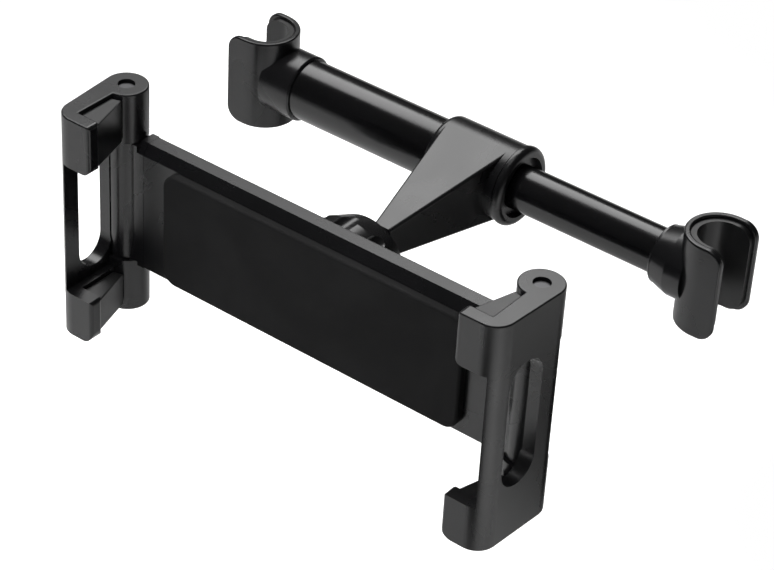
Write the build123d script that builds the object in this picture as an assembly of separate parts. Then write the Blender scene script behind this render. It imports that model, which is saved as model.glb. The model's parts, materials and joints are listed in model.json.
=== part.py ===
from build123d import *
from math import acos, atan2, cos, radians, sin, sqrt
import os

# Headrest tablet mount, in millimetres.
# A spring-loaded bar with two U-shaped hooks is held between the two posts of a car headrest.
# A wedge-shaped arm on the bar carries a ball joint, and the ball joint carries a flat cradle
# with a sliding, hinged jaw at each end.
# X runs along the bar, +Y towards the front of the car, so the tablet is at -Y, and +Z is up.
# The origin is on the bar's axis, midway between the two headrest posts.

os.makedirs("parts", exist_ok=True)

# Bar
post_x = 86.8
outer_tube_r = 10.0
outer_tube_wall = 1.6
inner_tube_r = 7.3
inner_tube_wall = 1.3
bush_length = 12.0
piston_length = 8.0
piston_head = 3.0
seat_nose = 4.0
run_gap = 0.05
free_gap = 0.3

# Hooks and their rubber liners
hook_r = 11.0
hook_wall = 2.0
hook_height = 31.5
hook_reach = 6.9
hook_rim = 0.6
hook_corner = 5.0
liner_wall = 1.8
liner_inset = 1.0
collar_end_x = 68.5
left_collar_r = 11.0
right_collar_r = 9.4
right_flare_r = 11.0
right_flare_x = 75.0
collar_socket = 5.5

# Hub and wedge arm
hub_r = 12.6
hub_half = 15.3
hub_x = 1.5
hub_recess = 2.0
hub_lip = 1.6
hub_edge = 2.0
hub_flange_r = 13.1
hub_flange = 2.6
hub_groove = 0.5
arm_root_half = 11.8
arm_root_y = -5.0
arm_tip_y = -49.0
arm_tip_half = 3.1
arm_tip_top = 2.8
arm_tip_bottom = -7.6
arm_edge = 1.0
arm_wall = 1.8
arm_top_angle = 12.0
arm_tip_wall = 8.0
arm_pocket_back = -15.0

# Ball joint
cradle_y = -78.0
cradle_z = -4.5
ball_offset = 15.0
ball_r = 8.0
neck_r = 3.5
stem_r = 2.0
stem_screw_r = 1.0
washer_r = 2.7
washer_t = 0.8
stem_head_r = 2.0
stem_head_t = 1.2
cup_wall = 1.2
cup_lip = 5.0
cup_slit = 0.8
cup_front_share = 0.7
socket_lip = 5.5
socket_r = 12.2
socket_slit = 1.2
socket_slits = 4
socket_slit_root = 4.0
socket_chamfer = 1.6
nut_r = 17.6
nut_back_r = 14.0
nut_start = 2.0
nut_end = 22.0
nut_edge = 0.8
nut_taper = 9.0
nut_face = 4.5
nut_flutes = 10
nut_flute_r = 3.6
nut_flute_reach = 0.45

# Cradle body
body_half = 66.0
body_top = 22.3
body_front = 3.5
body_split = 2.1
body_back = 3.7
top_chamfer_y = 2.3
top_chamfer_z = 3.4
cavity_half_z = 17.6
cavity_front = 2.1
body_edge = 0.6
screw_inset_x = 14.0
screw_inset_z = 2.4
screw_r = 1.1
screw_head_r = 2.1
screw_head_depth = 1.0
screw_length = 4.6
bar_screw_length = 4.4

# Rubber pad on the cradle's front
pad_inset = 10.0
pad_inset_top = 3.6
pad_inset_bottom = 1.6
pad_wall = 2.9
pad_corner = 5.0
pad_edge = 1.0

# Slides that carry the jaws
slide_travel = 36.0
pin_reach = 10.0
tongue_gap_z = 2.2
tongue_half_y = 1.95
tongue_end = 3.0
spring_slot_half = 4.6
spring_slot_inset = 10.0
lug_length = 6.0
rib_length = 5.7
knuckle_r = 5.6
knuckle_drop = 1.3
pin_r = 2.6
slide_end_gap = 0.15
knuckle_blend = 4.0
shoulder_length = 2.8

# Jaws
jaw_half_z = 38.5
jaw_boss_r = 6.8
jaw_depth = 26.2
jaw_front_out = 5.0
jaw_finger = 4.8
jaw_tip_in = 9.1
jaw_low_z = 39.6
jaw_block_in = 0.8
jaw_wall = 3.2
jaw_corner = 6.5
upper_block_gap = 0.5
lower_block_gap = 3.3
jaw_skin_end = 2.0
slot_front = 19.6
slot_back = 5.4
slot_top = 21.9
slot_bottom = -21.1
jaw_top_edge = 0.5
jaw_tip_corner = 4.0
finger_corner = 2.8
jaw_tip_edge = 1.2
pin_recess = 1.0
grip_in = 8.9
grip_back = 4.0
grip_lift = 1.1
grip_drop = 1.3
grip_low_drop = 2.6
grip_boss_gap = 0.7

# Springs
spring_wire = 0.5
cradle_spring_r = 1.7
cradle_spring_turns = 22
cradle_post_x = 5.0
cradle_post_r = 1.2
bar_spring_wire = 1.0
bar_spring_r = 5.6
bar_spring_turns = 10

# Values that follow from the ones above
hook_screw_x = collar_end_x + collar_socket - 1.6
left_screw_seat = left_collar_r + 0.25
right_screw_seat = right_flare_r - 0.3
lip_x = hub_x + hub_half - hub_recess - hub_lip
bush_x = lip_x - bush_length
piston_x = bush_x - piston_length
hub_screw_x = lip_x - bush_length / 2
hub_screw_seat = hub_r - 0.5
spring_seat_x = -(collar_end_x - 4)
tube_bore_r = outer_tube_r - outer_tube_wall
cup_outer_r = ball_r + run_gap + cup_wall
socket_mouth = ball_offset + socket_lip
screw_x = body_half - screw_inset_x
screw_z = body_top - screw_inset_z
pad_half = body_half - pad_inset
pad_top = body_top - pad_inset_top
pad_bottom = pad_inset_bottom - body_top
arm_pocket_front = arm_tip_y + arm_tip_wall
pin_x = body_half + pin_reach
slide_end = body_half + slide_end_gap
slide_shoulder = body_half + shoulder_length
spring_slot_end = body_half - spring_slot_inset
tongue_half_z = cavity_half_z - tongue_gap_z
lug_half_z = cavity_half_z - free_gap
knuckle_half_z = body_top - knuckle_drop
upper_block_z = knuckle_half_z + upper_block_gap
lower_block_z = knuckle_half_z + lower_block_gap
lug_far = body_half - rib_length - slide_travel - free_gap
lug_near = lug_far - lug_length
boss_inner_z = knuckle_half_z + free_gap


def place_cradle(shape):
    """Move a piece from the cradle's own frame to the bar's frame."""
    return Pos(0, cradle_y, cradle_z) * shape


def tube_x(radius, x_from, x_to, bore=0.0):
    """A round rod or tube along X."""
    solid = Pos((x_from + x_to) / 2, 0, 0) * Rot(0, 90, 0) * Cylinder(radius, abs(x_to - x_from))
    if bore:
        solid -= Pos((x_from + x_to) / 2, 0, 0) * Rot(0, 90, 0) * Cylinder(bore, abs(x_to - x_from) + 2)
    return solid


def rod_y(radius, y_from, y_to, x=0.0, z=0.0):
    """A round rod along Y."""
    return Pos(x, (y_from + y_to) / 2, z) * Rot(90, 0, 0) * Cylinder(radius, abs(y_to - y_from))


def rod_z(radius, z_from, z_to, x=0.0, y=0.0):
    """A round rod along Z."""
    return Pos(x, y, (z_from + z_to) / 2) * Cylinder(radius, abs(z_to - z_from))


def block(x_from, x_to, y_from, y_to, z_from, z_to):
    """A box given by its two faces along each axis."""
    centre = Pos((x_from + x_to) / 2, (y_from + y_to) / 2, (z_from + z_to) / 2)
    return centre * Box(abs(x_to - x_from), abs(y_to - y_from), abs(z_to - z_from))


def prism_z(face, z_from, z_to):
    """Extrude an outline drawn in XY from one height to another."""
    return Pos(0, 0, z_from) * extrude(face, z_to - z_from, dir=(0, 0, 1))


def coil_x(radius, wire, x_from, x_to, turns):
    """A helical spring along X, closed with a flat end at each side."""
    length = x_to - x_from
    path = Helix(pitch=length / turns, height=length, radius=radius)
    section = Plane(origin=path @ 0, z_dir=path % 0) * Circle(wire / 2)
    return Pos(x_from, 0, 0) * Rot(0, 90, 0) * sweep(section, path, is_frenet=True)


def u_outline(radius, reach):
    """The hook's plan: a half ring at the bar's side and two straight prongs, opening along +X."""
    ring = Circle(radius)
    prongs = Pos(reach / 2, 0) * Rectangle(reach, 2 * radius)
    return ring + prongs


def u_shell(outer_r, inner_r, reach, height):
    """A U-shaped wall with rounded prong corners, centred on the post's axis."""
    wall = extrude(u_outline(outer_r, reach), height / 2, both=True)
    wall -= extrude(u_outline(inner_r, reach + outer_r), height, both=True)
    side = Pos((reach - outer_r) / 2, 0) * RectangleRounded(reach + outer_r, height, hook_corner)
    side += Pos(-outer_r / 2, 0) * Rectangle(outer_r, height)
    return wall & (Rot(90, 0, 0) * extrude(side, outer_r + 1, both=True))


def hook(side, collar_r, tube_r):
    """One hook with the collar that takes the end of its tube. Side is -1 on the left."""
    shell = u_shell(hook_r, hook_r - hook_wall, hook_reach, hook_height)
    shell = fillet(shell.edges(), hook_rim)
    shell = Pos(post_x, 0, 0) * shell
    ring_back = post_x - hook_r + hook_wall / 2
    collar = tube_x(collar_r, collar_end_x, ring_back + 4)
    collar = chamfer(collar.edges().group_by(Axis.X)[0], 0.5)
    if side > 0:
        collar += right_flare(ring_back + 4)
    collar -= rod_z(hook_r - hook_wall / 2, -hook_height, hook_height, post_x)
    solid = shell + collar
    solid -= tube_x(tube_r, collar_end_x - 1, collar_end_x + collar_socket)
    solid -= hook_screw_hole()
    seat = right_screw_seat if side > 0 else left_screw_seat
    solid -= rod_y(screw_head_r + run_gap, seat - screw_head_depth, collar_r + 4, hook_screw_x)
    return solid if side > 0 else mirror(solid, Plane.YZ)


def right_flare(x_end):
    """The right collar widens from its rim towards its hook."""
    start = collar_end_x + 1
    profile = Polygon((start, 0), (start, right_collar_r), (right_flare_x, right_flare_r),
                      (x_end, right_flare_r), (x_end, 0), align=None)
    return revolve(profile, Axis.X)


def hook_screw_hole():
    """The screw at the back of a hook runs into the end of its tube, across the collar."""
    return rod_y(screw_r, 0, outer_tube_r + 4, hook_screw_x)


def hook_liner(side):
    """The rubber liner glued inside a hook, a little shorter than the hook all round."""
    outer = hook_r - hook_wall
    height = hook_height - 2 * liner_inset
    liner = u_shell(outer, outer - liner_wall, hook_reach - liner_inset, height)
    liner = Pos(post_x, 0, 0) * liner
    return liner if side > 0 else mirror(liner, Plane.YZ)


def outer_tube():
    """The thick tube runs from the left hook's socket through the hub."""
    left = -(collar_end_x + collar_socket)
    tube = tube_x(outer_tube_r, left, lip_x, tube_bore_r)
    tube -= mirror(hook_screw_hole(), Plane.YZ)
    tube -= hub_screw_hole()
    return tube


def inner_tube():
    """The thin tube telescopes inside the thick one."""
    tube = tube_x(inner_tube_r, piston_x, collar_end_x + collar_socket, inner_tube_r - inner_tube_wall)
    return tube - hook_screw_hole()


def hub_screw_hole():
    """One screw at the back of the hub fixes it to the thick tube."""
    return rod_y(screw_r, 0, hub_r + 2, hub_screw_x)


def guide_bush():
    """The bush in the thick tube's end guides the thin tube and stops its piston."""
    bush = tube_x(tube_bore_r, bush_x, lip_x, inner_tube_r + run_gap)
    return bush - hub_screw_hole()


def bar_piston():
    """The piston on the thin tube's end runs in the thick tube and takes the spring's push."""
    outer = tube_bore_r - run_gap
    head = tube_x(outer, piston_x - piston_head, piston_x)
    spigot = tube_x(inner_tube_r - inner_tube_wall, piston_x, piston_x + piston_length)
    stop = tube_x(outer, piston_x, piston_x + piston_length, inner_tube_r)
    return head + spigot + stop


def spring_seat():
    """The seat at the left end of the thick tube backs the bar's spring."""
    disc = tube_x(tube_bore_r, -(collar_end_x + collar_socket), spring_seat_x)
    nose = tube_x(bar_spring_r - bar_spring_wire - free_gap, spring_seat_x, spring_seat_x + seat_nose)
    return disc + nose - mirror(hook_screw_hole(), Plane.YZ)


def screw_y(length, x, y_head, z, point=-1):
    """A pan-head screw along Y with a cross recess. The head's face is at y_head."""
    back = -point
    head = rod_y(screw_head_r, y_head, y_head - back * screw_head_depth, x, z)
    shank = rod_y(screw_r, y_head - back * screw_head_depth, y_head - back * length, x, z)
    solid = head + shank
    for turn in (0, 90):
        bar = Rot(0, turn, 0) * Box(screw_head_r * 1.3, screw_head_depth, 0.5)
        solid -= Pos(x, y_head, z) * bar
    return solid


def arm_side_outline():
    """The arm's side view, as YZ points: its top runs tangent to the hub's barrel."""
    top = radians(arm_top_angle)
    tangent = (-hub_r * sin(top), hub_r * cos(top))
    low = (-hub_r * sin(radians(25)), -hub_r * cos(radians(25)))
    return [tangent, (arm_tip_y, arm_tip_top), (arm_tip_y, arm_tip_bottom), low, (0, 0)]


def hub_barrel():
    """The hub's barrel, with a flange at the thin tube's side and a groove beside it."""
    left, right = hub_x - hub_half, hub_x + hub_half
    barrel = tube_x(hub_r, left, right)
    barrel = fillet(barrel.edges().filter_by(GeomType.CIRCLE).group_by(Axis.X)[0], hub_edge)
    flange = tube_x(hub_flange_r, right - hub_flange, right)
    flange = fillet(flange.edges().filter_by(GeomType.CIRCLE).group_by(Axis.X)[-1], hub_edge)
    groove_x = right - hub_flange - hub_groove
    groove = tube_x(hub_r + 1, groove_x, groove_x + hub_groove, hub_r - hub_groove)
    return (barrel & tube_x(hub_r + 1, left - 1, right - hub_flange)) - groove + flange


def hub_and_arm():
    """The hub's barrel with the wedge-shaped arm moulded on its front."""
    barrel = hub_barrel()
    side = Polygon(*arm_side_outline(), align=None)
    side_prism = extrude(Plane.YZ * side, arm_root_half, both=True)
    plan = Polygon((-arm_root_half, 0), (arm_root_half, 0), (arm_root_half, arm_root_y),
                   (arm_tip_half, arm_tip_y), (-arm_tip_half, arm_tip_y),
                   (-arm_root_half, arm_root_y), align=None)
    wedge = side_prism & extrude(plan, hub_r * 2, both=True)
    long_edges = wedge.edges().filter_by(lambda e: e.length > -arm_tip_y / 2)
    wedge = fillet(long_edges, arm_edge)
    solid = barrel + wedge
    solid -= tube_x(outer_tube_r, hub_x - hub_half - 1, lip_x)
    solid -= tube_x(inner_tube_r + run_gap, 0, hub_x + hub_half + 1)
    solid -= tube_x(outer_tube_r, lip_x + hub_lip, hub_x + hub_half + 1)
    solid -= hub_screw_hole()
    solid -= rod_y(screw_head_r + run_gap, hub_screw_seat - screw_head_depth, hub_r + 3, hub_screw_x)
    solid -= stem_bore()
    solid -= arm_pocket()
    return solid


def stem_bore():
    """The bore in the arm's tip that the ball stud turns in."""
    return rod_y(stem_r + run_gap, arm_tip_y - 1, arm_pocket_front + 1, 0, cradle_z)


def arm_pocket():
    """The wedge is hollow from below, and the pocket gives access to the stud's screw."""
    slope = (hub_r - arm_tip_top) / -arm_tip_y
    ends = []
    for y in (arm_pocket_front, arm_pocket_back):
        share = (y - arm_tip_y) / (arm_root_y - arm_tip_y)
        half = arm_tip_half + (arm_root_half - arm_tip_half) * share - arm_wall
        ends.append((y, half, arm_tip_top + slope * (y - arm_tip_y) - arm_wall))
    (y0, half0, top0), (y1, half1, top1) = ends
    plan = Polygon((-half0, y0), (half0, y0), (half1, y1), (-half1, y1), align=None)
    side = Polygon((y0, top0), (y1, top1), (y1, -2 * hub_r), (y0, -2 * hub_r), align=None)
    return extrude(plan, 2 * hub_r, both=True) & extrude(Plane.YZ * side, hub_r, both=True)


def ball_stud():
    """The ball with its neck and the stem that turns in the arm's tip."""
    y = cradle_y + ball_offset
    ball = Pos(0, y, cradle_z) * Sphere(ball_r)
    neck = rod_y(neck_r, y, arm_tip_y - run_gap, 0, cradle_z)
    stem = rod_y(stem_r, arm_tip_y - run_gap, arm_pocket_front + run_gap, 0, cradle_z)
    hole = rod_y(stem_screw_r, arm_tip_y - 2, arm_pocket_front + 1, 0, cradle_z)
    return ball + neck + stem - hole


def stud_washer():
    """The washer turns with the stud and keeps its stem in the arm's tip."""
    y = arm_pocket_front + run_gap
    washer = rod_y(washer_r, y, y + washer_t, 0, cradle_z)
    return washer - rod_y(stem_screw_r, y - 1, y + washer_t + 1, 0, cradle_z)


def stud_screw():
    """The screw in the stud's end holds the washer."""
    y = arm_pocket_front + run_gap + washer_t
    head = rod_y(stem_head_r, y, y + stem_head_t, 0, cradle_z)
    shank = rod_y(stem_screw_r, arm_tip_y - 1, y, 0, cradle_z)
    slot = Pos(0, y + stem_head_t, cradle_z) * Box(2 * stem_head_r + 1, 1.2, 0.6)
    return head + shank - slot


def sphere_zone(outer, inner, back_lip, front_lip):
    """A spherical shell about the ball's centre, open behind back_lip and in front of front_lip."""
    centre = Pos(0, ball_offset, 0)
    shell = centre * Sphere(outer) - centre * Sphere(inner)
    keep = rod_y(outer + 1, ball_offset - front_lip, ball_offset + back_lip)
    return shell & keep


def friction_cup():
    """The split nylon cup between the ball and its socket."""
    cup = sphere_zone(cup_outer_r, ball_r + run_gap, cup_lip, ball_r * cup_front_share)
    slit_end = ball_offset + cup_outer_r
    cup -= block(-cup_slit / 2, cup_slit / 2, 0, slit_end, 0, cup_outer_r + 1)
    return place_cradle(cup)


def back_cover():
    """The cradle's back shell, with the slotted socket for the ball joint."""
    plate = block(-body_half, body_half, body_split, body_back, -body_top, body_top)
    plate = fillet(plate.edges().filter_by(Axis.X).group_by(Axis.Y)[-1], body_edge)
    boss = rod_y(socket_r, body_back - 0.5, socket_mouth)
    boss = chamfer(boss.edges().group_by(Axis.Y)[-1], socket_chamfer)
    boss -= Pos(0, ball_offset, 0) * Sphere(cup_outer_r + run_gap)
    for i in range(socket_slits):
        slit = block(-socket_slit / 2, socket_slit / 2, ball_offset - socket_slit_root,
                     socket_mouth + 1, 0, socket_r + 1)
        boss -= Rot(0, i * 360 / socket_slits + 45, 0) * slit
    solid = plate + boss
    for sx in (-1, 1):
        solid += rod_y(cradle_post_r, -cavity_front + free_gap, body_split, sx * cradle_post_x)
        for sz in (-1, 1):
            solid += stop_rib(sx, sz)
            hole = rod_y(screw_r, 0, body_back + 1, sx * screw_x, sz * screw_z)
            seat = rod_y(screw_head_r + run_gap, body_back - screw_head_depth, body_back + 1,
                         sx * screw_x, sz * screw_z)
            solid -= hole + seat
    return place_cradle(solid)


def stop_rib(sx, sz):
    """A rib at the body's end that a slide's lug meets at full reach."""
    x_near = sx * (body_half - rib_length)
    return block(x_near, sx * body_half, -cavity_front + free_gap, body_split,
                 sz * (tongue_half_z + free_gap), sz * (cavity_half_z - run_gap))


def body_outline(back):
    """The cradle body's section in YZ: a flat face with a wide chamfer along its top."""
    return Polygon((-body_front, -body_top), (-body_front, body_top - top_chamfer_z),
                   (-body_front + top_chamfer_y, body_top), (back, body_top),
                   (back, -body_top), align=None)


def front_cover():
    """The cradle's front shell: a flat face, a wide chamfer along the top and two side walls."""
    shell = extrude(Plane.YZ * body_outline(body_split), body_half, both=True)
    shell = fillet(shell.edges().filter_by(Axis.X).group_by(Axis.Y)[0], body_edge)
    shell -= block(-body_half - 1, body_half + 1, -cavity_front, body_split + 1,
                   -cavity_half_z, cavity_half_z)
    for sx in (-1, 1):
        for sz in (-1, 1):
            shell -= rod_y(screw_r, body_back - screw_length, body_back + 1,
                           sx * screw_x, sz * screw_z)
    return place_cradle(shell)


def front_pad():
    """The rubber pad glued on the front cover."""
    height = pad_top - pad_bottom
    outline = Pos(0, (pad_top + pad_bottom) / 2) * RectangleRounded(2 * pad_half, height, pad_corner)
    pad = Pos(0, -body_front, 0) * Rot(90, 0, 0) * extrude(outline, pad_wall)
    pad = fillet(pad.edges().group_by(Axis.Y)[0], pad_edge)
    return place_cradle(pad)


def cover_screws():
    """Four screws hold the back cover on the front cover."""
    group = []
    for sx in (-1, 1):
        for sz in (-1, 1):
            group.append(place_cradle(screw_y(screw_length, sx * screw_x, body_back, sz * screw_z)))
    return Compound(children=group)


def lock_nut():
    """The fluted nut that closes the socket's fingers on the cup."""
    start = body_back + nut_start
    inner = socket_r + run_gap
    lip_r = inner - socket_chamfer - 2 * run_gap
    profile = Polygon((inner, start), (nut_r - nut_edge, start), (nut_r, start + nut_edge),
                      (nut_r, nut_end - nut_taper), (nut_back_r, nut_end),
                      (nut_back_r - nut_face, nut_end), (lip_r, socket_mouth + run_gap),
                      (inner, socket_mouth - socket_chamfer), align=None)
    nut = revolve(profile, Axis.Y)
    for i in range(nut_flutes):
        angle = (i + 0.5) * 360 / nut_flutes
        flute = rod_y(nut_flute_r, start - 1, nut_end + 1, nut_r + nut_flute_r * (1 - nut_flute_reach))
        nut -= Rot(0, angle, 0) * flute
    return place_cradle(nut)


def slide(side):
    """The slide's tongue runs in the cradle's body, and its knuckle carries the jaw.
    Its shoulder has the body's own section, so the body's lines run on to the jaw."""
    tongue = block(tongue_end, slide_end + 1, -tongue_half_y, tongue_half_y, -tongue_half_z, tongue_half_z)
    tongue -= block(tongue_end - 1, spring_slot_end, -tongue_half_y - 1, tongue_half_y + 1,
                    -spring_slot_half, spring_slot_half)
    for sz in (-1, 1):
        tongue += block(lug_near, lug_far, -tongue_half_y, tongue_half_y, 0.9 * sz * tongue_half_z,
                        sz * lug_half_z)
    shoulder = extrude(Plane.YZ * body_outline(body_back), slide_shoulder - slide_end, dir=(1, 0, 0))
    shoulder = Pos(slide_end, 0, 0) * shoulder
    web = Polygon((slide_shoulder, -body_front), (pin_x, -body_front), (pin_x, body_back),
                  (slide_shoulder, body_back), align=None)
    knuckle = prism_z(web, -knuckle_half_z, knuckle_half_z)
    knuckle += rod_z(knuckle_r, -knuckle_half_z, knuckle_half_z, pin_x)
    for y in (-body_front, body_back):
        meeting = (pin_x - sqrt(knuckle_r ** 2 - y ** 2), y, 0)
        knuckle = fillet(knuckle.edges().filter_by(Axis.Z).sort_by_distance(meeting)[0], knuckle_blend)
    solid = tongue + shoulder + knuckle
    solid -= rod_z(pin_r, -knuckle_half_z - 1, knuckle_half_z + 1, pin_x)
    solid = place_cradle(solid)
    return solid if side > 0 else mirror(solid, Plane.YZ)


def hinge_pin(side):
    """The black steel pin that the jaw swings on, set a little below the jaw's ends."""
    pin = rod_z(pin_r, -jaw_low_z + pin_recess, jaw_half_z - pin_recess, pin_x)
    pin = chamfer(pin.edges().filter_by(GeomType.CIRCLE), 0.3)
    pin = place_cradle(pin)
    return pin if side > 0 else mirror(pin, Plane.YZ)


def round_corner(face, x, y, radius):
    """Round the corner of an outline that is nearest to a point."""
    corner = face.vertices().sort_by_distance((x, y, 0))[0]
    return fillet(corner, radius)


def jaw_tangent():
    """The point where the jaw's outer face leaves its boss, so that the two are tangent."""
    reach = sqrt(jaw_depth ** 2 + jaw_front_out ** 2)
    angle = acos(jaw_boss_r / reach) - atan2(jaw_depth, jaw_front_out)
    return jaw_boss_r * cos(angle), jaw_boss_r * sin(angle)


def jaw_block_outline():
    """The plan of a jaw's upper and lower block: a boss, a side wall and a finger in front."""
    back = -jaw_depth + jaw_finger
    face = Polygon((-jaw_block_in, 0), (0, 0), jaw_tangent(), (jaw_front_out, -jaw_depth),
                   (-jaw_tip_in, -jaw_depth), (-jaw_tip_in, back), (-jaw_block_in, back), align=None)
    face = round_corner(face, jaw_front_out, -jaw_depth, jaw_corner)
    face = round_corner(face, -jaw_tip_in, -jaw_depth, jaw_tip_edge)
    face = round_corner(face, -jaw_tip_in, back, jaw_tip_edge)
    return face


def jaw_middle():
    """The thin middle wall with its slot. It also wraps the knuckle's outer side."""
    low, high = -lower_block_z - 1, upper_block_z + 1
    inner = jaw_front_out - jaw_wall
    wall = prism_z(jaw_block_outline(), low, high) + rod_z(jaw_boss_r, low, high)
    return wall & block(inner, 2 * jaw_boss_r, -jaw_depth, jaw_skin_end, low, high)


def round_finger(solid, z, inward, radius):
    """Round the finger's tip at one of its level faces. Inward points into the finger."""
    front, back = -jaw_depth - 1, -jaw_depth + jaw_finger + 1
    centre_z = z + inward * radius
    corner = block(-jaw_tip_in - 1, radius - jaw_tip_in, front, back, z - inward, centre_z)
    return solid - (corner - rod_y(radius, front, back, radius - jaw_tip_in, centre_z))


def jaw(side):
    """One jaw: two blocks with bosses and fingers, joined by a thin wall with a long slot."""
    upper = prism_z(jaw_block_outline(), upper_block_z, jaw_half_z)
    upper = round_finger(upper, jaw_half_z, -1, jaw_tip_edge)
    upper = round_finger(upper, upper_block_z, 1, finger_corner)
    upper += rod_z(jaw_boss_r, upper_block_z, jaw_half_z)
    upper = fillet(upper.edges().group_by(Axis.Z)[-1], jaw_top_edge)
    lower = prism_z(jaw_block_outline(), -jaw_low_z, -lower_block_z)
    lower = round_finger(lower, -jaw_low_z, 1, jaw_tip_corner)
    lower = round_finger(lower, -lower_block_z, -1, jaw_tip_edge)
    lower += rod_z(jaw_boss_r, -jaw_low_z, -boss_inner_z)
    solid = upper + lower + jaw_middle()
    solid -= rod_z(knuckle_r + free_gap, -boss_inner_z, upper_block_z)
    slot = Pos(-(slot_front + slot_back) / 2, (slot_top + slot_bottom) / 2) * SlotOverall(
        slot_top - slot_bottom, slot_front - slot_back, 90)
    slot_cut = extrude(Plane.YZ * slot, jaw_boss_r + 5)
    solid -= Pos(jaw_front_out - jaw_wall - 0.1, 0, 0) * slot_cut
    solid -= rod_z(pin_r + run_gap, -jaw_low_z - 1, jaw_half_z + 1)
    solid = place_cradle(Pos(pin_x, 0, 0) * solid)
    return solid if side > 0 else mirror(solid, Plane.YZ)


def jaw_grip(side, level):
    """The rubber grip on a jaw's upper or lower block."""
    if level > 0:
        z_from, z_to = upper_block_z + grip_lift, jaw_half_z - grip_drop
    else:
        z_from, z_to = -jaw_low_z + grip_low_drop, -lower_block_z - grip_drop
    front = -jaw_depth + jaw_finger
    face = Polygon((-jaw_block_in, front), (-grip_in, front), (-grip_in, -grip_back),
                   (-jaw_block_in, -grip_back), align=None)
    face -= Circle(jaw_boss_r + grip_boss_gap)
    grip = prism_z(face, z_from, z_to)
    grip = place_cradle(Pos(pin_x, 0, 0) * grip)
    return grip if side > 0 else mirror(grip, Plane.YZ)


def cradle_spring(side):
    """A tension spring pulls each slide in. It lies in the slide's slot."""
    body = coil_x(cradle_spring_r - spring_wire / 2, spring_wire, cradle_post_x + cradle_post_r + 0.4,
                  spring_slot_end - 0.4, cradle_spring_turns)
    body = place_cradle(body)
    return body if side > 0 else mirror(body, Plane.YZ)


def bar_spring():
    """The compression spring in the thick tube pushes the hooks apart."""
    return coil_x(bar_spring_r, bar_spring_wire, spring_seat_x + 0.6, piston_x - piston_head - 0.6,
                  bar_spring_turns)


pieces = {
    "outer_tube": outer_tube(),
    "inner_tube": inner_tube(),
    "guide_bush": guide_bush(),
    "bar_piston": bar_piston(),
    "spring_seat": spring_seat(),
    "bar_spring": bar_spring(),
    "left_hook": hook(-1, left_collar_r, outer_tube_r),
    "right_hook": hook(1, right_collar_r, inner_tube_r),
    "left_hook_liner": hook_liner(-1),
    "right_hook_liner": hook_liner(1),
    "left_hook_screw": screw_y(bar_screw_length, -hook_screw_x, left_screw_seat, 0),
    "right_hook_screw": screw_y(bar_screw_length, hook_screw_x, right_screw_seat, 0),
    "hub_screw": screw_y(bar_screw_length, hub_screw_x, hub_screw_seat, 0),
    "hub_arm": hub_and_arm(),
    "ball_stud": ball_stud(),
    "stud_washer": stud_washer(),
    "stud_screw": stud_screw(),
    "friction_cup": friction_cup(),
    "back_cover": back_cover(),
    "front_cover": front_cover(),
    "front_pad": front_pad(),
    "cover_screws": cover_screws(),
    "lock_nut": lock_nut(),
}
for side, name in ((-1, "left"), (1, "right")):
    pieces[name + "_slide"] = slide(side)
    pieces[name + "_hinge_pin"] = hinge_pin(side)
    pieces[name + "_jaw"] = jaw(side)
    pieces[name + "_upper_grip"] = jaw_grip(side, 1)
    pieces[name + "_lower_grip"] = jaw_grip(side, -1)
    pieces[name + "_cradle_spring"] = cradle_spring(side)

for name, piece in pieces.items():
    export_step(piece, "parts/" + name + ".step")
    print(name, "solids", len(piece.solids()), "volume", round(piece.volume, 1))
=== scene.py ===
# %% [markdown]
# A mount that holds a tablet behind a car's headrest.
# Two lined hooks at the ends of a sprung bar press outwards on the headrest's posts.
# A wedge-shaped arm on the bar carries a ball joint, and the joint carries a flat cradle
# whose two hinged jaws slide out against springs.
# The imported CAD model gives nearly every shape, so this lesson is mostly about finish:
# how one black object is told apart as satin shell, glossy tube, matt rubber and steel.

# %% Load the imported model
import json
from math import acos, atan2, cos, pi, radians, sin

import bmesh
import bpy
from mathutils import Matrix, Vector


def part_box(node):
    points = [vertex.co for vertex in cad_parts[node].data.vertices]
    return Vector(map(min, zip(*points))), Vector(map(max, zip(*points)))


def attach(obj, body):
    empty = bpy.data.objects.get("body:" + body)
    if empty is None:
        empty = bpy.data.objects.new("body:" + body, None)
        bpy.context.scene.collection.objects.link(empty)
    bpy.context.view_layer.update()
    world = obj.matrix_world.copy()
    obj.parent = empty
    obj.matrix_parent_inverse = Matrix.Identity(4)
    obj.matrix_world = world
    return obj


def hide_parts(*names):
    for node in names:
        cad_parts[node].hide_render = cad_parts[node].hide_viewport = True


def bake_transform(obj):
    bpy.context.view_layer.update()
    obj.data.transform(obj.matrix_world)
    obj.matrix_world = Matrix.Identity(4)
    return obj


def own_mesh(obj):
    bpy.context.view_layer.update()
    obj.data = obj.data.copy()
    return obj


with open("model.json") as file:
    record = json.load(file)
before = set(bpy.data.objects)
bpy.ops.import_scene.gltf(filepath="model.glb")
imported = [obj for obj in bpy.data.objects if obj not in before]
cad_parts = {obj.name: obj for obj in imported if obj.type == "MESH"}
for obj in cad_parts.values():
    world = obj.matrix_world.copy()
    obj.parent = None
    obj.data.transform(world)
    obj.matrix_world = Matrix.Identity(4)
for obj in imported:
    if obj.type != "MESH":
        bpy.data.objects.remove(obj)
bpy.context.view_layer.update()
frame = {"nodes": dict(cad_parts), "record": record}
nodes = frame["nodes"]

# %% [markdown]
# A material is laid out as nodes, and every node is a kind, some plain numbers and some
# links from other nodes. One helper makes any of them, so that the finishes below read as
# a list of what makes them different.

# %% Helpers for materials
MM = 0.001


def add_node(tree, kind, values, links, **settings):
    """A new node with its settings, the inputs that are numbers and those that are linked."""
    node = tree.nodes.new(kind)
    for name, setting in settings.items():
        setattr(node, name, setting)
    for name, value in values.items():
        node.inputs[name].default_value = value
    for name, source in links.items():
        tree.links.new(source, node.inputs[name])
    return node


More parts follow.
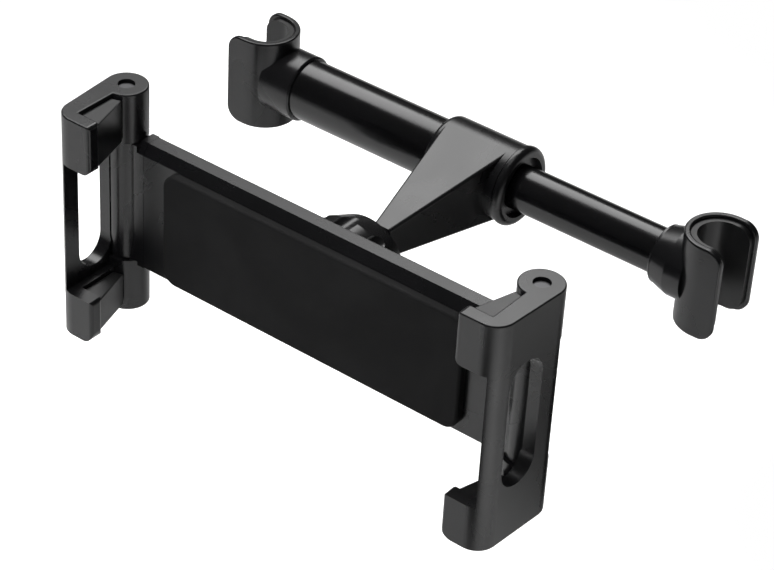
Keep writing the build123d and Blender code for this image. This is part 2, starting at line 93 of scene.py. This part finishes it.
def new_material(name):
    """A new material and its main shader."""
    material = bpy.data.materials.new(name)
    material.use_nodes = True
    return material, material.node_tree.nodes["Principled BSDF"]


def object_coords(tree):
    """The output that gives each point's place on the object, in metres."""
    return tree.nodes.new("ShaderNodeTexCoord").outputs["Object"]


def new_group(name, numbers, output):
    """A node group that takes a place and some numbers, with its nodes for both ends."""
    group = bpy.data.node_groups.new(name, "ShaderNodeTree")
    group.interface.new_socket("Vector", in_out="INPUT", socket_type="NodeSocketVector")
    for number in numbers:
        group.interface.new_socket(number, in_out="INPUT", socket_type="NodeSocketFloat")
    group.interface.new_socket(output, in_out="OUTPUT", socket_type="NodeSocketFloat")
    return group, group.nodes.new("NodeGroupInput"), group.nodes.new("NodeGroupOutput")


print("helpers ready, one millimetre is", MM)

# %% [markdown]
# Spark-eroded moulds leave a fine, even grain on plastic. Rubber has a softer and coarser
# one. Both can be made from the same two layers of noise, so the grain is a node group
# with a size and an amount of coarseness, and each finish places it with its own values.

# %% Group: fine grain


def grain_group():
    """Height of a fine grain. Size is the number of grains in a metre."""
    group, entry, leave = new_group("fine_grain", ("Size", "Coarse"), "Height")
    place = {"Vector": entry.outputs["Vector"], "Scale": entry.outputs["Size"]}
    fine = add_node(group, "ShaderNodeTexNoise", {"Detail": 3.0}, place)
    pits = add_node(group, "ShaderNodeTexVoronoi", {}, place, feature="SMOOTH_F1")
    blend = add_node(group, "ShaderNodeMix", {},
                     {"Factor": entry.outputs["Coarse"], "A": fine.outputs["Fac"],
                      "B": pits.outputs["Distance"]})
    group.links.new(blend.outputs["Result"], leave.inputs["Height"])
    return group


fine_grain = grain_group()
print("group", fine_grain.name, "nodes", len(fine_grain.nodes))

# %% [markdown]
# Hands polish a grained surface in soft patches, which shows as a change in roughness and
# hardly in colour. A second group turns low, warped noise into such a patchy mask.

# %% Group: handling marks


def marks_group():
    """A soft patchy mask from 0, untouched, to 1, polished by hands."""
    group, entry, leave = new_group("handling_marks", ("Size",), "Mask")
    patches = add_node(group, "ShaderNodeTexNoise", {"Detail": 4.0, "Distortion": 0.8},
                       {"Vector": entry.outputs["Vector"], "Scale": entry.outputs["Size"]})
    ramp = add_node(group, "ShaderNodeMapRange", {"From Min": 0.35, "From Max": 0.7},
                    {"Value": patches.outputs["Fac"]}, interpolation_type="SMOOTHSTEP")
    group.links.new(ramp.outputs["Result"], leave.inputs["Mask"])
    return group


handling_marks = marks_group()
print("group", handling_marks.name, "nodes", len(handling_marks.nodes))

# %% [markdown]
# Dust settles on what faces up. The third group multiplies the surface's upward slope by
# a speckled noise, so that it is nothing on walls and a thin haze on top of the bar.

# %% Group: settled dust


def dust_group():
    """A mask of dust on faces that look up."""
    group, entry, leave = new_group("settled_dust", ("Size",), "Mask")
    surface = group.nodes.new("ShaderNodeNewGeometry")
    split = add_node(group, "ShaderNodeSeparateXYZ", {}, {"Vector": surface.outputs["Normal"]})
    upward = add_node(group, "ShaderNodeMapRange", {"From Min": 0.5, "From Max": 1.0},
                      {"Value": split.outputs["Z"]})
    speckle = add_node(group, "ShaderNodeTexNoise", {"Detail": 6.0},
                       {"Vector": entry.outputs["Vector"], "Scale": entry.outputs["Size"]})
    both = add_node(group, "ShaderNodeMath", {},
                    {0: upward.outputs["Result"], 1: speckle.outputs["Fac"]},
                    operation="MULTIPLY")
    group.links.new(both.outputs["Value"], leave.inputs["Mask"])
    return group


settled_dust = dust_group()
print("group", settled_dust.name, "nodes", len(settled_dust.nodes))

# %% [markdown]
# A finish places the three groups with its own values. Hands change its colour a little
# and its roughness more, dust lightens it, and the grain bends its normals. Numbers that
# are the same all over, such as the strength of the shine, go straight on the shader.

# %% A finish from the three groups
DUST_SIZE = 900.0
DUST_COLOUR = (0.30, 0.29, 0.27, 1)
DUST_MOST = 0.06


def place_group(tree, group, **values):
    """Places a group in a material, with its values, on the object's own coordinates."""
    return add_node(tree, "ShaderNodeGroup", values, {"Vector": object_coords(tree)},
                    node_tree=group)


def finish(name, clean, worn, rough, polished, grain, bump, coarse=0.2, dust=0.1, patch=35.0,
           **on_shader):
    """A finish with grain, patches of a second colour and roughness, and a haze of dust."""
    material, shader = new_material(name)
    tree = material.node_tree
    marks = place_group(tree, handling_marks, Size=patch).outputs["Mask"]
    haze = place_group(tree, settled_dust, Size=DUST_SIZE).outputs["Mask"]
    height = place_group(tree, fine_grain, Size=grain, Coarse=coarse).outputs["Height"]

    tint = add_node(tree, "ShaderNodeMix", {"A": (*clean, 1), "B": (*worn, 1)},
                    {"Factor": marks}, data_type="RGBA")
    thin = add_node(tree, "ShaderNodeMath", {1: dust * DUST_MOST}, {0: haze},
                    operation="MULTIPLY")
    dusty = add_node(tree, "ShaderNodeMix", {"B": DUST_COLOUR},
                     {"Factor": thin.outputs["Value"], "A": tint.outputs["Result"]},
                     data_type="RGBA")
    shine = add_node(tree, "ShaderNodeMapRange", {"To Min": rough, "To Max": polished},
                     {"Value": marks})
    bumps = add_node(tree, "ShaderNodeBump", {"Strength": 1.0, "Distance": bump},
                     {"Height": height})

    tree.links.new(dusty.outputs["Result"], shader.inputs["Base Color"])
    tree.links.new(shine.outputs["Result"], shader.inputs["Roughness"])
    tree.links.new(bumps.outputs["Normal"], shader.inputs["Normal"])
    for socket, value in on_shader.items():
        shader.inputs[socket].default_value = value
    return material


print("dust covers at most", DUST_MOST)

# %% [markdown]
# Seven finishes dress the mount. The blacks differ little in colour, and mostly in how
# sharply and how strongly they shine: the tubes most, the shells less, the pad hardly.

# %% The finishes
satin_shell = finish("satin_shell", (0.0026, 0.0026, 0.0029), (0.0038, 0.0038, 0.0042),
                     rough=0.30, polished=0.25, grain=2600.0, bump=0.006 * MM)
gloss_tube = finish("gloss_tube", (0.0016, 0.0016, 0.0018), (0.0024, 0.0024, 0.0027),
                    rough=0.22, polished=0.18, grain=1500.0, bump=0.002 * MM, patch=60.0)
matt_rubber = finish("matt_rubber", (0.0065, 0.0065, 0.0067), (0.0075, 0.0075, 0.0077),
                     rough=0.78, polished=0.72, grain=1400.0, bump=0.02 * MM, coarse=0.6,
                     **{"Specular IOR Level": 0.12})
soft_rubber = finish("soft_rubber", (0.005, 0.005, 0.0052), (0.007, 0.007, 0.0073),
                     rough=0.36, polished=0.30, grain=1800.0, bump=0.01 * MM, coarse=0.5,
                     **{"Specular IOR Level": 0.42})
natural_nylon = finish("natural_nylon", (0.60, 0.58, 0.52), (0.55, 0.52, 0.45),
                       rough=0.42, polished=0.36, grain=1500.0, bump=0.01 * MM, dust=0.25,
                       **{"Subsurface Weight": 0.1,
                          "Subsurface Radius": (0.002, 0.0018, 0.0015)})
turned_steel = finish("turned_steel", (0.50, 0.50, 0.51), (0.42, 0.42, 0.43),
                      rough=0.3, polished=0.24, grain=3000.0, bump=0.004 * MM, Metallic=1.0)
black_steel = finish("black_steel", (0.075, 0.075, 0.078), (0.09, 0.09, 0.094),
                     rough=0.38, polished=0.3, grain=3000.0, bump=0.006 * MM, Metallic=1.0)
print("materials", [material.name for material in bpy.data.materials])

# %% [markdown]
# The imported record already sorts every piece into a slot, such as shell or rubber.
# Reading that list is safer than typing the pieces' names again. Only the pad differs from
# its slot, because its rubber is duller than that of the grips and liners.

# %% Dress the CAD pieces
FINISH_OF_SLOT = {
    "shell": satin_shell,
    "tube": gloss_tube,
    "rubber": soft_rubber,
    "nylon": natural_nylon,
    "steel": turned_steel,
    "dark_steel": black_steel,
}
for part in frame["record"]["subparts"]:
    for place in nodes[part["node"]].material_slots:
        place.material = FINISH_OF_SLOT[part["material_slot"]]
for place in nodes["front_pad"].material_slots:
    place.material = matt_rubber

# %% [markdown]
# Some pieces are shaped here. Each of them ends the same way: doubled points are joined,
# the faces are turned outwards, edges sharper than an angle stay crisp, and the piece gets
# its finish and the body that it moves with. A left-hand piece is its right-hand twin,
# mirrored, so its faces are turned again after the mirror.

# %% Helper: a shape becomes a finished piece
SAME_POINT = 1e-6


def finish_piece(shape, name, paint, body_of, side=1, crisp_angle=35.0):
    """Turns a shape into an object, on a CAD body if one is named. Side -1 mirrors it in X."""
    if side < 0:
        bmesh.ops.scale(shape, verts=shape.verts, vec=(-1, 1, 1))
    bmesh.ops.remove_doubles(shape, verts=shape.verts, dist=SAME_POINT)
    bmesh.ops.recalc_face_normals(shape, faces=shape.faces)
    mesh = bpy.data.meshes.new(name)
    shape.to_mesh(mesh)
    shape.free()
    mesh.shade_smooth()
    mesh.set_sharp_from_angle(angle=radians(crisp_angle))
    mesh.materials.append(paint)
    piece = bpy.data.objects.new(name, mesh)
    bpy.context.scene.collection.objects.link(piece)
    if body_of:
        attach(piece, body_of)
    return piece


print("points closer than", SAME_POINT, "m are joined")

# %% [markdown]
# Each rubber grip is a soft block between a jaw's finger and its boss. Its inner face slants,
# wide at the finger and narrow at the boss, and its back end is hollowed round the boss. A
# boolean could cut that hollow, but spinning one point round the boss gives the same arc
# with clean quads, and the rest is one face, an extrusion and a small bevel.

# %% Rubber grips
CRADLE_CENTRE = Vector((0, -78 * MM, -4.5 * MM))
PIN_X = 76 * MM
GRIP_FRONT_Y = -21.4 * MM
GRIP_OUTER_X = -0.8 * MM
GRIP_INNER_FRONT_X = -8.2 * MM
GRIP_INNER_BACK_X = -4.0 * MM
BOSS_CLEAR_R = 7.5 * MM
ARC_STEPS = 10
GRIP_EDGE = 0.35 * MM
BEVEL_FROM = radians(40)
GRIP_CRISP_ANGLE = 20.0
UPPER_GRIP_Z = (22.6 * MM, 37.2 * MM)
LOWER_GRIP_Z = (-37.0 * MM, -25.6 * MM)


def grip_shape(z_low, z_high):
    """One grip about the right pin: an arc round the boss, then the two front corners."""
    shape = bmesh.new()
    back_y = -(BOSS_CLEAR_R ** 2 - GRIP_OUTER_X ** 2) ** 0.5
    first = shape.verts.new((GRIP_OUTER_X, back_y, z_low))
    start = atan2(back_y, GRIP_OUTER_X)
    end = -acos(GRIP_INNER_BACK_X / BOSS_CLEAR_R)
    bmesh.ops.spin(shape, geom=[first], cent=(0, 0, 0), axis=(0, 0, 1), angle=end - start,
                   steps=ARC_STEPS, use_duplicate=False)
    arc = sorted(shape.verts, key=lambda v: -v.co.x)
    inner = shape.verts.new((GRIP_INNER_FRONT_X, GRIP_FRONT_Y, z_low))
    outer = shape.verts.new((GRIP_OUTER_X, GRIP_FRONT_Y, z_low))
    outline = shape.faces.new(arc + [inner, outer])
    grown = bmesh.ops.extrude_face_region(shape, geom=[outline])
    top = [v for v in grown["geom"] if isinstance(v, bmesh.types.BMVert)]
    bmesh.ops.translate(shape, verts=top, vec=(0, 0, z_high - z_low))
    bmesh.ops.recalc_face_normals(shape, faces=shape.faces)
    sharp = [e for e in shape.edges if e.calc_face_angle() > BEVEL_FROM]
    bmesh.ops.bevel(shape, geom=sharp, offset=GRIP_EDGE, affect="EDGES", segments=2,
                    profile=0.5, material=-1)
    return shape


grips = []
for side, hand in ((-1, "left"), (1, "right")):
    for level, (z_low, z_high) in (("upper", UPPER_GRIP_Z), ("lower", LOWER_GRIP_Z)):
        node = hand + "_" + level + "_grip"
        shape = grip_shape(z_low, z_high)
        bmesh.ops.translate(shape, verts=shape.verts, vec=Vector((PIN_X, 0, 0)) + CRADLE_CENTRE)
        piece = finish_piece(shape, node + "_rubber", soft_rubber, hand + "_clamp", side,
                             GRIP_CRISP_ANGLE)
        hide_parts(node)
        grips.append(piece)
print("grips", [p.name for p in grips], "faces", len(grips[0].data.polygons))

# %% [markdown]
# Springs change their length with the joints, so rigid ones would run through the piston or
# stay behind in the cradle. A small ring of wire, spun round an axis with a step along it,
# winds each of them anew, as long as the CAD spring whose place it takes. Each is wound once,
# at that length. The bar's spring moves with the bar, and none of them squashes or stretches.

# %% Springs
BAR_WIRE_R = 0.5 * MM
BAR_TURNS = 10
CRADLE_WIRE_R = 0.25 * MM
CRADLE_TURNS = 22
STEPS_PER_TURN = 20
WIRE_SIDES = 10


def wound_spring(low, high, wire_r, turns):
    """A ring of wire wound along X, as long and as wide as the box it fills."""
    shape = bmesh.new()
    steps = turns * STEPS_PER_TURN
    middle = (low + high) / 2
    coil_radius = (high.y - low.y) / 2 - wire_r
    advance = (high.x - low.x - 2 * wire_r) / steps
    bmesh.ops.create_circle(shape, cap_ends=False, segments=WIRE_SIDES, radius=wire_r)
    bmesh.ops.translate(shape, verts=shape.verts,
                        vec=(low.x + wire_r, middle.y + coil_radius, middle.z))
    bmesh.ops.spin(shape, geom=shape.verts[:] + shape.edges[:], cent=(0, middle.y, middle.z),
                   axis=(1, 0, 0), dvec=(advance, 0, 0), angle=2 * pi * turns,
                   steps=steps, use_duplicate=False)
    bmesh.ops.holes_fill(shape, edges=[e for e in shape.edges if e.is_boundary])
    return shape


def spring_piece(node, body, wire_r, turns):
    """A wound spring in the place of a CAD spring, with its lowest and highest corners."""
    low, high = (Vector(corner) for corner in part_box(node))
    shape = wound_spring(low, high, wire_r, turns)
    piece = finish_piece(shape, node + "_wire", turned_steel, body)
    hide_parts(node)
    return piece, low, high


coil, low, high = spring_piece("bar_spring", "bar", BAR_WIRE_R, BAR_TURNS)
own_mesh(coil)
for hand in ("left", "right"):
    coil, low, high = spring_piece(hand + "_cradle_spring", None, CRADLE_WIRE_R, CRADLE_TURNS)
    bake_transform(coil)

# %% [markdown]
# The photograph has a plain white ground with hardly a shadow. A surface can give off white
# of its own to some kinds of ray and not to others: much to the camera's, so that the ground
# is white, and little to those that mirror it, so that the object stays black.

# %% Helpers for white ground


def ray_strength(tree, shares, base=0.0):
    """A light's strength: a base for every ray, and a share on top for some kinds of ray."""
    path = tree.nodes.new("ShaderNodeLightPath")
    total = None
    for kind, share in shares.items():
        links = {0: path.outputs[kind]}
        if total:
            links[2] = total
        part = add_node(tree, "ShaderNodeMath", {1: share, 2: base}, links,
                        operation="MULTIPLY_ADD")
        total = part.outputs["Value"]
    return total


def own_light(tree, shares):
    """White light that a surface gives off by itself, by its share for each kind of ray."""
    glow = add_node(tree, "ShaderNodeEmission", {}, {"Strength": ray_strength(tree, shares)})
    return glow.outputs["Emission"]


print("white by kind of ray")

# %% [markdown]
# The floor's own colour is pale, and the object's soft shadow falls on it outside the middle of
# the patches. A black object is often photographed among black and white cards. Here round
# patches of the floor paint those cards in. Each glows dark or light to the rays that mirror
# it, which is a painted reflection. To the camera each is plain white, without the object's
# shadow in its middle. The right-hand faces and the round corners mirror the two dark ones as
# painted dark reflections. The wide light ones paint light reflections on the back, the front
# and the sides.

# %% Floor
FLOOR_Z = -0.115
FLOOR_SIZE = 6.0
FLOOR_COLOUR = (0.55, 0.55, 0.55, 1)
FLOOR_ROUGHNESS = 0.9
FLOOR_SHARES = {"Is Camera Ray": 0.88, "Is Glossy Ray": 0.08, "Is Transmission Ray": 0.75}
# Each patch has a place, a radius and the glow that it gives to what mirrors it, a painted dark
# or light reflection.
PAINTED_REFLECTION_PATCHES = (
    ((0.128, 0.062), 0.092, 0.0),
    ((0.095, -0.25), 0.09, 0.0),
    ((0.0, 0.50), 0.42, 0.9),
    ((-0.55, 0.0), 0.40, 0.8),
    ((0.62, -0.05), 0.38, 0.8),
    ((0.10, -0.60), 0.30, 0.8),
)
PATCH_CORE = 0.5


def build_floor():
    """A wide flat floor that isn't part of the object."""
    mesh = bpy.data.meshes.new("floor")
    shape = bmesh.new()
    bmesh.ops.create_grid(shape, x_segments=1, y_segments=1, size=FLOOR_SIZE)
    bmesh.ops.translate(shape, verts=shape.verts, vec=(0, 0, FLOOR_Z))
    shape.to_mesh(mesh)
    shape.free()
    floor = bpy.data.objects.new("floor", mesh)
    bpy.context.scene.collection.objects.link(floor)
    return floor


def round_mask(tree, place, radius):
    """A mask that is 1 about a place on the floor and falls softly to 0 at its radius."""
    local = add_node(tree, "ShaderNodeMapping",
                     {"Location": (*place, FLOOR_Z), "Scale": (radius, radius, radius)},
                     {"Vector": object_coords(tree)}, vector_type="TEXTURE")
    ball = add_node(tree, "ShaderNodeTexGradient", {}, {"Vector": local.outputs["Vector"]},
                    gradient_type="SPHERICAL")
    soften = add_node(tree, "ShaderNodeMapRange", {"From Max": PATCH_CORE},
                      {"Value": ball.outputs["Fac"]}, interpolation_type="SMOOTHSTEP")
    return soften.outputs["Result"]


def paint_floor():
    """The floor's pale paint with its own white, and the patches of painted reflection laid
    over it.
    """
    paint, shader = new_material("floor_paint")
    shader.inputs["Base Color"].default_value = FLOOR_COLOUR
    shader.inputs["Roughness"].default_value = FLOOR_ROUGHNESS
    shader.inputs["Specular IOR Level"].default_value = 0.0
    tree = paint.node_tree
    both = add_node(tree, "ShaderNodeAddShader", {},
                    {0: shader.outputs["BSDF"], 1: own_light(tree, FLOOR_SHARES)})
    lit = both.outputs["Shader"]
    for place, radius, shine in PAINTED_REFLECTION_PATCHES:
        # Each patch is a painted reflection: dark or light to the rays that mirror it, and
        # plain white to the camera, with no shadow in its middle.
        painted_reflection = own_light(tree, {"Is Camera Ray": 1.0, "Is Glossy Ray": shine,
                                "Is Transmission Ray": 1.0})
        over = add_node(tree, "ShaderNodeMixShader", {},
                        {"Fac": round_mask(tree, place, radius), 1: lit, 2: painted_reflection})
        lit = over.outputs["Shader"]
    tree.links.new(lit, tree.nodes["Material Output"].inputs["Surface"])
    return paint


floor = build_floor()
floor.data.materials.append(paint_floor())
print("floor at", FLOOR_Z, "patches", len(PAINTED_REFLECTION_PATCHES))

# %% [markdown]
# The world is white where the camera looks past the floor, and almost dark to everything
# else, because the shells that face the camera mirror its front half and are black there.

# %% World
WORLD_BASE = 0.03
WORLD_SHARES = {"Is Camera Ray": 0.97, "Is Glossy Ray": 0.015, "Is Transmission Ray": 0.97}

world = bpy.data.worlds.new("studio")
bpy.context.scene.world = world
world.use_nodes = True
tree = world.node_tree
tree.nodes.clear()
sky = add_node(tree, "ShaderNodeBackground", {"Color": (1, 1, 1, 1)},
               {"Strength": ray_strength(tree, WORLD_SHARES, WORLD_BASE)})
add_node(tree, "ShaderNodeOutputWorld", {}, {"Surface": sky.outputs["Background"]})
print("world", world.name, "nodes", len(tree.nodes))

# %% [markdown]
# Faces that look up mirror what is high behind the object, and they are the brightest in
# the photograph, so a wide bright panel stands there. A smaller one hangs overhead, and a
# third fills from the front without being mirrored. The last two only light the floor where
# the front faces and the round corners mirror it.

# %% Lamps
CENTRE = (0, -0.04, 0)
# Each lamp has a name, a place, a target, a width and height, a power, and mirrored or not.
LAMPS = (
    ("back_panel", (-0.9, 0.72, 1.50), CENTRE, (1.7, 1.0), 29, True),
    ("top_panel", (0, -0.04, 1.6), CENTRE, (0.7, 0.7), 2.8, True),
    ("fill_panel", (0.3, -1.2, 1.5), CENTRE, (1.2, 1.2), 16, False),
    ("left_floor_pool", (-0.12, -0.30, 0.30), (-0.12, -0.30, -1), (0.16, 0.16), 2.1, False),
    ("right_floor_pool", (0.235, -0.17, -0.01), (0.235, -0.17, -1), (0.05, 0.05), 0.30, False),
)


def soft_panel(name, place, target, size, power, mirrored):
    """A rectangular lamp that faces its target. Only a mirrored one is seen in the shine."""
    lamp = bpy.data.lights.new(name, "AREA")
    lamp.shape = "RECTANGLE"
    lamp.size, lamp.size_y = size
    lamp.energy = power
    holder = bpy.data.objects.new(name, lamp)
    holder.location = place
    aim = Vector(target) - Vector(place)
    holder.rotation_mode = "QUATERNION"
    holder.rotation_quaternion = aim.to_track_quat("-Z", "Y")
    holder.visible_camera = False
    holder.visible_glossy = mirrored
    bpy.context.scene.collection.objects.link(holder)


for lamp in LAMPS:
    soft_panel(*lamp)
print("lamps", len(LAMPS))

# %% [markdown]
# The camera's place was found by fitting the straight edges of the cradle, the pins and
# the bar to the photograph. It stands to the right and above, with a slight roll and a
# long lens.

# %% Camera
PHOTO_WIDTH = 774
SENSOR_WIDTH = 36.0
FOCAL_PIXELS = 2706.2
AZIMUTH = radians(36.0955)
ELEVATION = radians(35.3902)
ROLL = radians(3.4666)
AIM_RIGHT = 19.563 * MM
AIM_UP = 2.190 * MM
DISTANCE = 790.71 * MM
NEAREST = 0.05
FARTHEST = 20


def build_camera():
    """The photograph's camera, from its angles about the cradle's centre."""
    right = Vector((cos(AZIMUTH), sin(AZIMUTH), 0))
    level = cos(ELEVATION)
    back = Vector((sin(AZIMUTH) * level, -cos(AZIMUTH) * level, sin(ELEVATION)))
    up = back.cross(right)
    spot = CRADLE_CENTRE + right * AIM_RIGHT + up * AIM_UP + back * DISTANCE
    across = right * cos(ROLL) + up * sin(ROLL)
    upright = back.cross(across)
    data = bpy.data.cameras.new("camera")
    data.sensor_width = SENSOR_WIDTH
    data.lens = FOCAL_PIXELS * SENSOR_WIDTH / PHOTO_WIDTH
    data.clip_start = NEAREST
    data.clip_end = FARTHEST
    camera = bpy.data.objects.new("camera", data)
    turn = Matrix((across, upright, back)).transposed()
    camera.matrix_world = Matrix.Translation(spot) @ turn.to_4x4()
    bpy.context.scene.collection.objects.link(camera)
    bpy.context.scene.camera = camera
    return camera


camera = build_camera()
bpy.context.scene.view_settings.view_transform = "Standard"
print("camera at", [round(v, 3) for v in camera.location], "lens", round(camera.data.lens, 1))
